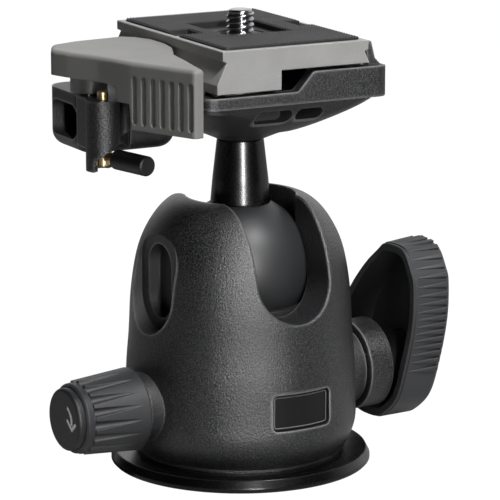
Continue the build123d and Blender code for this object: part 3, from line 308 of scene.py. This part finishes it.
# grain, pebble and patch are noise scales; corner, ridge, hollow and relief are in metres
coatLook = {
    "dark": grey(3), "fleck": grey(80, -0.3), "wornAndSheen": grey(175, -0.1), "grain": 3600,
    "pebble": 2160, "patch": 70, "corner": 0.0005, "ridge": 0.0011, "hollow": 0.014,
    "flecks": (0.47, 0.62), "patches": (0.35, 0.7, 0.0, 0.3), "ridges": (0.2, 0.6),
    "hollows": (0.1, 0.38), "wearAndSheen": 0.75, "shadow": 0.92, "bump": 0.46, "relief": 0.00022,
    "rough": 0.33, "roughSteps": (-0.05, 0.08), "polish": 0.08, "dull": 0.3, "specular": 0.62}
paintLook = {
    "grain": 3200, "patch": 60, "corner": 0.0004, "wearAndSheen": 0.4, "dust": 0.1,
    "specks": (0.62, 0.75), "bump": 0.1, "relief": 0.0001, "rough": 0.45,
    "roughSteps": (-0.04, 0.05), "specular": 0.45}
knobLook = paintLook | {
    "wornAndSheen": grey(110, -0.2), "grain": 4200, "dust": 0.15, "bump": 0.3, "rough": 0.5}
metalLook = {
    "stretch": (1, 1, 0.2), "grain": 1500, "patch": 200, "corner": 0.0002, "wearAndSheen": 0.5,
    "bump": 0.15, "relief": 0.00005, "rough": 0.22, "roughSteps": (-0.05, 0.08)}

coats = {
    "castCoat": coatLook,
    "trayCoat": coatLook | {"wornAndSheen": grey(165, -0.1), "rough": 0.4},
}
paints = {
    "flangePaint": paintLook | {
        "color": grey(3), "second": grey(5), "wornAndSheen": grey(80), "rough": 0.25, "specular": 0.28},
    "leverPaint": paintLook | {
        "color": grey(154, 0.2), "second": grey(147, 0.3), "wornAndSheen": grey(182, 0.1),
        "grain": 2500, "dust": 0.25, "bump": 0.2, "rough": 0.5, "specular": 0.35},
    "platePaint": paintLook | {
        "color": grey(184, 0.15), "second": grey(172, 0.35), "wornAndSheen": grey(225, 0.1),
        "grain": 2800, "patch": 110, "wearAndSheen": 0.6, "dust": 0.3, "bump": 0.3, "rough": 0.46},
    "ballCoat": paintLook | {
        "color": grey(50, -0.3), "second": grey(47, -0.3), "wornAndSheen": grey(80), "grain": 5000,
        "dust": 0.05, "bump": 0.05, "rough": 0.48, "specular": 0.55},
    "stemCoat": paintLook | {
        "color": grey(3), "second": grey(5), "wornAndSheen": grey(60), "dust": 0.0, "bump": 0.04,
        "rough": 0.25, "specular": 0.7},
    "knobPlastic": knobLook | {"color": grey(52, -0.3), "second": grey(46, -0.3)},
    "wingPlastic": knobLook | {"color": grey(67, -0.3), "second": grey(60, -0.3)},
    "capPlastic": paintLook | {
        "color": grey(30, -0.2), "second": grey(27, -0.2), "wornAndSheen": grey(90), "bump": 0.2,
        "rough": 0.5},
    "sleevePlastic": paintLook | {
        "color": grey(36, -0.5), "second": grey(32, -0.5), "wornAndSheen": grey(70), "bump": 0.25,
        "rough": 0.46},
    "padRubber": paintLook | {
        "color": grey(92, -0.15), "second": grey(84, -0.15), "wornAndSheen": grey(120),
        "corner": 0.0001, "wearAndSheen": 0.3, "bump": 0.3, "rough": 0.55,
        # grooves, shadow and deep paint shade into the knurl's grooves
        "grooves": (0.1005, 0.10076), "shadow": 0.95, "deep": grey(8)},
    "seatPlastic": paintLook | {
        "color": grey(30), "second": grey(26), "wornAndSheen": grey(50), "rough": 0.5},
    "whitePrint": paintLook | {
        "color": grey(255), "second": grey(252), "wornAndSheen": grey(245), "corner": 0.0001,
        "rough": 0.3, "specular": 0.8},
    "labelFace": paintLook | {
        "color": grey(10), "second": grey(14), "wornAndSheen": grey(80), "bump": 0.04, "rough": 0.36,
        "specular": 0.3},
    # painted highlight along the label's recessed edge
    "labelLine": paintLook | {
        "color": grey(150, 0.1), "second": grey(140, 0.1), "wornAndSheen": grey(170), "dust": 0.2,
        "rough": 0.4},
}
metals = {
    "brass": metalLook | {
        "color": (0.80, 0.62, 0.36, 1), "second": (0.70, 0.52, 0.29, 1),
        "wornAndSheen": (0.95, 0.82, 0.6, 1), "rough": 0.26},
    "steel": metalLook | {
        "color": (0.55, 0.55, 0.56, 1), "second": (0.46, 0.46, 0.47, 1),
        "wornAndSheen": (0.8, 0.8, 0.8, 1)},
    "darkChrome": metalLook | {
        "color": (0.36, 0.36, 0.37, 1), "second": (0.30, 0.30, 0.31, 1),
        "wornAndSheen": (0.55, 0.55, 0.55, 1), "rough": 0.16},
    "alloy": metalLook | {
        "color": (0.72, 0.72, 0.73, 1), "second": (0.62, 0.62, 0.63, 1),
        "wornAndSheen": (0.85, 0.85, 0.85, 1), "stretch": (1, 1, 1), "rough": 0.35},
}
finishes = {}
for make, looks in ((speckledCoat, coats), (satinPaint, paints), (turnedMetal, metals)):
    for name, look in looks.items():
        finishes[name] = make(name, look)
print("stage: materials made")

nodeFinish = {
    "flangePaint": ["base_flange"],
    "castCoat": ["housing", "lock_collar"],
    "trayCoat": ["platform"],
    "labelFace": ["label_plate"],
    "ballCoat": ["ball"],
    "stemCoat": ["stem"],
    "seatPlastic": ["ball_seat", "friction_pad"],
    "alloy": ["seat_wedge", "screw_clip"],
    "brass": ["lock_bush", "friction_bush", "trip_button", "safety_pin", "safety_hub"],
    "steel": ["tripod_insert", "base_screws", "lock_plunger", "lock_screw", "friction_plunger",
              "friction_screw", "platform_screw", "trip_ring", "trip_spring", "lever_pin"],
    "darkChrome": ["camera_screw"],
    "knobPlastic": ["friction_knob"],
    "wingPlastic": ["wing_knob"],
    "capPlastic": ["friction_cap"],
    "platePaint": ["camera_plate"],
    "padRubber": ["rubber_pad"],
    "sleevePlastic": ["safety_sleeve"],
    "leverPaint": ["lever"],
}
for finish, names in nodeFinish.items():
    for name in names:
        slots = nodes[name].data.materials
        if not slots:
            slots.append(None)
        for i in range(len(slots)):
            slots[i] = finishes[finish]
print("stage: frame dressed")


def merge(bm, apart=0.0001):  # vertices that are less than this apart, in mm
    bmesh.ops.remove_doubles(bm, verts=bm.verts, dist=apart * mm)


def nodeCopy(name):  # a CAD node's mesh with its doubles merged, for reshaping
    bm = bmesh.new()
    bm.from_mesh(nodes[name].data)
    merge(bm, 0.002)
    return bm


def vertsOf(geometry):
    return [item for item in geometry if isinstance(item, bmesh.types.BMVert)]


def edgesOf(verts):  # each edge once, in order
    return list(dict.fromkeys(edge for v in verts for edge in v.link_edges))


def borderOf(bm):
    return [edge for edge in bm.edges if edge.is_boundary]


def closeHoles(bm):
    bmesh.ops.holes_fill(bm, edges=borderOf(bm), sides=0)


def cutAway(bm, point, normal):  # clears what lies on the normal's side
    geometry = bm.verts[:] + bm.edges[:] + bm.faces[:]
    bmesh.ops.bisect_plane(bm, geom=geometry, dist=0.0001 * mm, plane_co=point, plane_no=normal,
                           clear_outer=True)


def chain(bm, points):  # edges from point to point, each a radius and a height in mm
    verts = [bm.verts.new((radius * mm, 0, height * mm)) for radius, height in points]
    return verts + [bm.edges.new(pair) for pair in zip(verts, verts[1:])]


def softEdges(bm, edges, width):  # rounds them off by a width in mm
    return bmesh.ops.bevel(bm, geom=edges, offset=width * mm, segments=2, profile=0.5,
                           affect="EDGES", material=-1, clamp_overlap=True)["verts"]


def addPiece(name, parts, body, finish, standsFor=(), sharpAngle=30):
    mesh = bpy.data.meshes.new(name)
    whole = bmesh.new()
    for part in parts:  # closed shells, turned the right way out by their volume
        merge(part)
        bmesh.ops.recalc_face_normals(part, faces=part.faces)
        if part.calc_volume(signed=True) < 0:
            bmesh.ops.reverse_faces(part, faces=part.faces)
        part.to_mesh(mesh)
        part.free()
        whole.from_mesh(mesh)
    whole.to_mesh(mesh)
    whole.free()
    for face in mesh.polygons:
        face.use_smooth = True
    mesh.set_sharp_from_angle(angle=math.radians(sharpAngle))
    mesh.materials.append(finishes[finish])
    piece = bpy.data.objects.new(name, mesh)
    bpy.context.scene.collection.objects.link(piece)
    if isinstance(body, str):
        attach(piece, body)
    else:
        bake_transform(piece, *body)
    if standsFor:
        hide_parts(*standsFor)


def bodyOf(node):
    return body_of(nodes[node])[0]


# turn is the thread's outline, as radius and share of the pitch; tip is radius and height, in mm
stud = {"turn": ((2.62, 0), (3.1, 0.36), (3.16, 0.44), (3.16, 0.56), (3.1, 0.64), (2.62, 1)),
        "tip": ((0, 103.6), (2.5, 103.6), (2.72, 103.9), (2.72, 104.35), (2.6, 104.6),
                (2.3, 104.76), (1.9, 104.8), (0, 104.8)),
        "pitch": 1.27, "start": 98.12, "end": 103.95, "overlap": 0.03, "steps": 40}


def makeStud(look):
    bm = nodeCopy("camera_screw")  # coin-slot head and neck as they are
    cutAway(bm, up * (look["start"] + look["overlap"]) * mm, up)
    closeHoles(bm)
    thread = bmesh.new()
    rise = look["pitch"]
    turns = math.ceil((look["end"] - look["start"]) / rise) + 2  # one to spare at each end
    profile = [(radius, look["start"] + (share - 1) * rise) for radius, share in look["turn"]]
    bmesh.ops.spin(thread, geom=chain(thread, profile), cent=(0, 0, 0), axis=up,
                   dvec=(0, 0, rise / look["steps"] * mm), angle=math.tau * turns,
                   steps=look["steps"] * turns)
    merge(thread, 0.001)
    cutAway(thread, up * look["end"] * mm, up)
    cutAway(thread, up * look["start"] * mm, -up)
    closeHoles(thread)
    bmesh.ops.spin(thread, geom=chain(thread, look["tip"]), cent=(0, 0, 0), axis=up,
                   angle=math.tau, steps=look["steps"], use_merge=True)
    addPiece("cameraStud", [bm, thread], bodyOf("camera_screw"), "darkChrome",
             ["camera_screw"])


makeStud(stud)

# the pad's half size, its window (half width, front, rear) and the notches in its sides, in mm
pad = {"half": (17.0, 24.9), "window": (7.85, -9.0, 11.0), "notch": 3.2, "notchLeft": -11.6,
       "notchRight": 13.4, "base": 99.2, "top": 100.8, "height": 0.36, "margin": 0.45,
       "gap": 0.01, "skirt": 0.05, "diamond": (0.37, 0.57), "spareRows": 3}


def padFields(look):  # rectangles that the knurl covers, as left, right, front and rear
    x, y = (half - look["margin"] for half in look["half"])
    side, front, rear = look["window"]
    side, front, rear = side + look["margin"], front - look["margin"], rear + look["margin"]
    notch = look["notch"] + look["margin"]
    left, right = look["notchLeft"] + look["margin"], look["notchRight"] - look["margin"]
    fields = [(-x, x, -y, front), (-x, x, rear, y), (-x, -side, front, -notch),
              (left, -side, -notch, notch), (-x, -side, notch, rear), (side, x, front, -notch),
              (side, right, -notch, notch), (side, x, notch, rear)]
    inwards = (1, -1, 1, -1)  # the fields stand a hair apart and share no edge
    return [[edge + look["gap"] * sign for edge, sign in zip(field, inwards)] for field in fields]


def makePad(look):
    bm = nodeCopy("rubber_pad")
    middle = (look["top"] + look["base"]) / 2 * mm
    floor = (look["top"] - look["height"]) * mm
    bmesh.ops.translate(bm, verts=[v for v in bm.verts if v.co.z > middle],
                        vec=(0, 0, -look["height"] * mm))
    parts = [bm]
    wide, deep = look["diamond"]  # half of one; the rows run aslant, in step in all the fields
    slant = Matrix.Diagonal((wide * mm, deep * mm, 1, 1)) @ Matrix.Rotation(math.tau / 8, 4, "Z")
    for left, right, front, rear in padFields(look):
        count = math.ceil(((right - left) / wide + (rear - front) / deep) / 2) + look["spareRows"]
        x, y = (round((low + high) / 4 / step) * 2 * step  # the whole diamond nearest the middle
                for low, high, step in ((left, right, wide), (front, rear, deep)))
        shift = deep if count % 2 else 0  # an odd grid has a pyramid at its centre, not a corner
        field = bmesh.new()
        bmesh.ops.create_grid(field, x_segments=count, y_segments=count,
                              size=count * math.sqrt(0.5))
        bmesh.ops.poke(field, faces=field.faces[:], offset=look["height"] * mm)
        place = Matrix.Translation((x * mm, (y + shift) * mm, floor))
        bmesh.ops.transform(field, verts=field.verts, matrix=place @ slant)
        for edge, way in ((left, (-1, 0, 0)), (right, (1, 0, 0)),
                          (front, (0, -1, 0)), (rear, (0, 1, 0))):
            cutAway(field, [abs(share) * edge * mm for share in way], way)
        for v in vertsOf(bmesh.ops.extrude_edge_only(field, edges=borderOf(field))["geom"]):
            v.co.z = floor - look["skirt"] * mm
        merge(field)
        closeHoles(field)
        parts.append(field)
    addPiece("gripPad", parts, bodyOf("rubber_pad"), "padRubber", ["rubber_pad"],
             sharpAngle=20)


makePad(pad)

# an arc between two angles, with two strokes from its end; places in mm on the cap's face
arrow = {"radius": 3.6, "from": 64.0, "to": -8.0, "steps": 20, "head": (3.7, -1.5),
         "wings": ((1.75, 0.15), (5.15, -0.05)), "width": 0.75, "corner": 0.225,
         "proud": 0.04, "sunk": 0.02}


def capFace(node, joint):  # a knob's outer face, as a matrix with X to the right and Z outwards
    foot = Vector(joint["pos_m"])
    out = Vector(joint["axis"]).normalized()
    if foot.xy.dot(out.xy) < 0:
        out.negate()
    reach = max((v.co - foot).dot(out) for v in nodes[node].data.vertices)
    face = Matrix((up.cross(out), up, out)).transposed().to_4x4()
    return Matrix.Translation(foot + out * reach) @ face


def addBar(bm, start, end, look):  # a straight printed stroke
    along = Vector((end[0] - start[0], end[1] - start[1], 0))
    middle = Vector(((start[0] + end[0]) / 2, (start[1] + end[1]) / 2,
                     (look["proud"] - look["sunk"]) / 2))
    turn = Matrix.Rotation(math.atan2(along.y, along.x), 4, "Z")
    scale = Matrix.Diagonal(((along.length + look["width"]) * mm, look["width"] * mm,
                             (look["proud"] + look["sunk"]) * mm, 1))
    bar = bmesh.ops.create_cube(bm, size=1,
                                matrix=Matrix.Translation(middle * mm) @ turn @ scale)
    uprights = [edge for edge in edgesOf(bar["verts"])
                if abs(edge.verts[0].co.z - edge.verts[1].co.z) > look["proud"] * mm]
    softEdges(bm, uprights, look["corner"])


def makeArrow(look):
    bm = bmesh.new()
    start = Matrix.Rotation(math.radians(look["from"]), 4, "Z")
    inner, outer = look["radius"] - look["width"] / 2, look["radius"] + look["width"] / 2
    ring = ((inner, -look["sunk"]), (outer, -look["sunk"]), (outer, look["proud"]),
            (inner, look["proud"]))
    corners = [bm.verts.new(start @ Vector((radius * mm, 0, height * mm)))
               for radius, height in ring]
    bmesh.ops.spin(bm, geom=[bm.faces.new(corners)], cent=(0, 0, 0), axis=up,
                   steps=look["steps"], angle=math.radians(look["to"] - look["from"]))
    for wing in look["wings"]:
        addBar(bm, wing, look["head"], look)
    bmesh.ops.transform(bm, verts=bm.verts,
                        matrix=capFace("friction_cap", joints["friction_knob_turn"]))
    addPiece("turnArrow", [bm], bodyOf("friction_cap"), "whitePrint")


makeArrow(arrow)

# heart is the fan's centre, forward and up; start and end are along the knob's axis; all in mm
ribs = {"heart": (2.0, 31.0), "first": 76.0, "last": -50.0, "count": 19, "start": 38.2,
        "end": 46.4, "height": 0.6, "nearHeight": 0.02, "root": 0.35, "width": 1.25,
        "point": 0.25, "edge": 0.1, "outside": 60}


def makeRibs(look):  # wedges along the wing's front rim, rising towards its outer face
    out = Vector(joints["main_knob_turn"]["axis"]).normalized()
    if out.x < 0:
        out.negate()
    forward = out.cross(up)
    mesh = nodes["wing_knob"].data
    shell = BVHTree.FromPolygons([v.co for v in mesh.vertices],
                                 [face.vertices[:] for face in mesh.polygons])
    middle = (look["start"] + look["end"]) / 2
    length = look["end"] - look["start"]
    heart = forward * look["heart"][0] * mm + up * look["heart"][1] * mm + out * middle * mm
    bm = bmesh.new()
    for i in range(look["count"]):
        share = i / (look["count"] - 1)
        angle = math.radians(look["first"] + (look["last"] - look["first"]) * share)
        ray = forward * math.cos(angle) + up * math.sin(angle)
        spot, normal = shell.ray_cast(heart + ray * look["outside"] * mm, -ray)[:2]
        stance = Matrix((out, normal.cross(out), normal)).transposed().to_4x4()
        rib = bmesh.ops.create_cube(bm, size=1)["verts"]
        for v in rib:
            near = v.co.x < 0
            width = look["width"] * (look["point"] if near else 1)
            top = look["nearHeight"] if near else look["height"]
            height = top if v.co.z > 0 else -look["root"]
            v.co = (v.co.x * length * mm, v.co.y * width * mm, height * mm)
        tops = [edge for edge in edgesOf(rib) if all(end.co.z > 0 for end in edge.verts)]
        whole = set(softEdges(bm, tops, look["edge"])) | {v for v in rib if v.is_valid}
        bmesh.ops.transform(bm, verts=list(whole), matrix=Matrix.Translation(spot) @ stance)
    addPiece("wingRibs", [bm], bodyOf("wing_knob"), "wingPlastic", sharpAngle=25)


makeRibs(ribs)

spring = {"still": 0.2}  # how much of each end keeps its shape, in mm


def makeSpring(look):  # its coils close up as the button goes down
    low, high = map(Vector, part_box("trip_spring"))
    start = Vector((low.x, low.y, low.z + look["still"] * mm))
    end = Vector((low.x, low.y, high.z - look["still"] * mm))
    span = (bodyOf("trip_spring"), bodyOf("trip_button"), start, end)
    addPiece("buttonSpring", [nodeCopy("trip_spring")], span, "steel", ["trip_spring"])


makeSpring(spring)

# middle is the sheet's centre in Y, hole its radius, low and high its two faces, in mm
shadeSheet = {"half": (8.2, 10.4), "middle": 1.0, "hole": 5.55, "low": 99.19, "high": 99.3,
           "rimSteps": 12, "holeSteps": 48}


def makeShadeSheet(look):  # painted shade: a thin dark sheet under the pad's window, darkening what shows through it
    bm = bmesh.new()
    bmesh.ops.create_circle(bm, radius=look["hole"] * mm, segments=look["holeSteps"])
    outer = bmesh.ops.create_grid(bm, x_segments=look["rimSteps"], y_segments=look["rimSteps"],
                                  size=1)["verts"]
    rim = {v for edge in borderOf(bm) for v in edge.verts}
    for v in outer:
        v.co = (v.co.x * look["half"][0] * mm,
                (v.co.y * look["half"][1] + look["middle"]) * mm, 0)
    bmesh.ops.delete(bm, geom=[v for v in outer if v not in rim], context="VERTS")
    bmesh.ops.triangle_fill(bm, edges=bm.edges[:], use_beauty=True)
    bmesh.ops.translate(bm, verts=bm.verts, vec=up * look["low"] * mm)
    raised = bmesh.ops.extrude_face_region(bm, geom=bm.faces[:], use_keep_orig=True)["geom"]
    bmesh.ops.translate(bm, verts=vertsOf(raised), vec=up * (look["high"] - look["low"]) * mm)
    addPiece("padWindowShade", [bm], bodyOf("rubber_pad"), "seatPlastic")


makeShadeSheet(shadeSheet)

border = {"inset": 0.45, "width": 0.22, "proud": 0.03, "facing": -0.7}


def makeLabelSheen(look):  # painted highlight: a thin light line round the plate's front, which looks towards -Y
    bm = nodeCopy("label_plate")
    others = [face for face in bm.faces if face.normal.y > look["facing"]]
    bmesh.ops.delete(bm, geom=others, context="FACES")
    front = bm.faces[:]
    for width in (look["inset"], look["width"]):
        ring = bmesh.ops.inset_region(bm, faces=front, thickness=width * mm, use_boundary=True,
                                      use_even_offset=True)["faces"]
    others = [face for face in bm.faces if face not in ring]
    bmesh.ops.delete(bm, geom=others, context="FACES")
    bmesh.ops.translate(bm, verts=bm.verts, vec=(0, -look["proud"] * mm, 0))
    bmesh.ops.solidify(bm, geom=bm.faces[:], thickness=look["proud"] * 2 * mm)
    addPiece("labelEdgeSheen", [bm], bodyOf("label_plate"), "labelLine")


makeLabelSheen(border)
print("stage: pieces added")

# pale paper with a dark cloth in front, which lamps and gloss meet but the camera doesn't see;
# clothSpan is where paper turns into cloth, in metres towards the camera, and glowShare how much
# of what the camera sees is plain glow, the rest being paper that takes the shadow
floorLook = {"size": 6.0, "drop": 0.1, "pale": 0.60, "dark": 0.10, "clothSpan": (0.06, 0.16),
             "glow": 1.12, "glowShare": 0.9}
# the room that gloss mirrors, bright behind the object and dark in front
worldLook = {"turn": -26, "span": (-0.7, -0.3), "back": 1.0, "front": 0.01, "soft": 0.015}
lampAim = 0.05  # the height that the lamps look at
lamps = {
    "keyLamp": {"turn": 37, "rise": 54, "distance": 1.0, "size": (0.20, 0.22), "power": 10.2,
                "diffuse": True},
    "stripLamp": {"turn": 13, "rise": 13, "distance": 0.9, "size": (0.045, 0.5), "power": 11.5,
                  "diffuse": False},
}


def makeFloor(look):
    bm = bmesh.new()
    bmesh.ops.create_grid(bm, x_segments=1, y_segments=1, size=look["size"] / 2)
    mesh = bpy.data.meshes.new("studioFloor")
    bm.to_mesh(mesh)
    bm.free()
    floor = bpy.data.objects.new("studioFloor", mesh)
    floor.location = (0, 0, cadBox[0][2] - look["drop"] * mm)
    bpy.context.scene.collection.objects.link(floor)
    material, s = newFinish("studioFloor")
    spot = s.node("ShaderNodeTexCoord", output="Object")
    front = s.along(spot, outward(cameraView["azimuth"], 0))
    paper = front.spread(*look["clothSpan"], look["pale"], look["dark"])
    seen = s.node("ShaderNodeLightPath", output="Is Camera Ray")
    shade = s.blend(paper | seen * look["pale"], black, white)
    plain = s.node("ShaderNodeBsdfDiffuse", {"Color": shade})
    glow = s.node("ShaderNodeEmission", {"Color": white, "Strength": look["glow"]})
    s.show(s.node("ShaderNodeMixShader", {0: seen * look["glowShare"], 1: plain, 2: glow}))
    mesh.materials.append(material)


def makeWorld(look):
    world = bpy.data.worlds.new("studioWorld")
    bpy.context.scene.world = world
    world.use_nodes = True
    s = Shader(world.node_tree, "World")
    direction = s.node("ShaderNodeTexCoord", output="Generated")
    front = s.along(direction, outward(cameraView["azimuth"] + look["turn"], 0))
    seen, glossy, through = (s.node("ShaderNodeLightPath", output=f"Is {ray} Ray")
                             for ray in ("Camera", "Glossy", "Transmission"))
    around = front.spread(*look["span"], look["back"], look["front"]) * glossy
    level = around | seen | through | look["soft"]
    s.show(s.node("ShaderNodeBackground", {"Color": white, "Strength": level}))


def makeLamp(name, look):
    way = outward(cameraView["azimuth"] + look["turn"], look["rise"])
    data = bpy.data.lights.new(name, "AREA")
    data.shape = "RECTANGLE"
    data.size, data.size_y = look["size"]
    data.energy = look["power"]
    lamp = bpy.data.objects.new(name, data)
    lamp.matrix_world = facing(way, up * lampAim + way * look["distance"])
    lamp.visible_diffuse = look["diffuse"]
    bpy.context.scene.collection.objects.link(lamp)


makeFloor(floorLook)
makeWorld(worldLook)
for name, look in lamps.items():
    makeLamp(name, look)
bpy.context.scene.view_settings.view_transform = "Standard"
print("stage: studio lit")
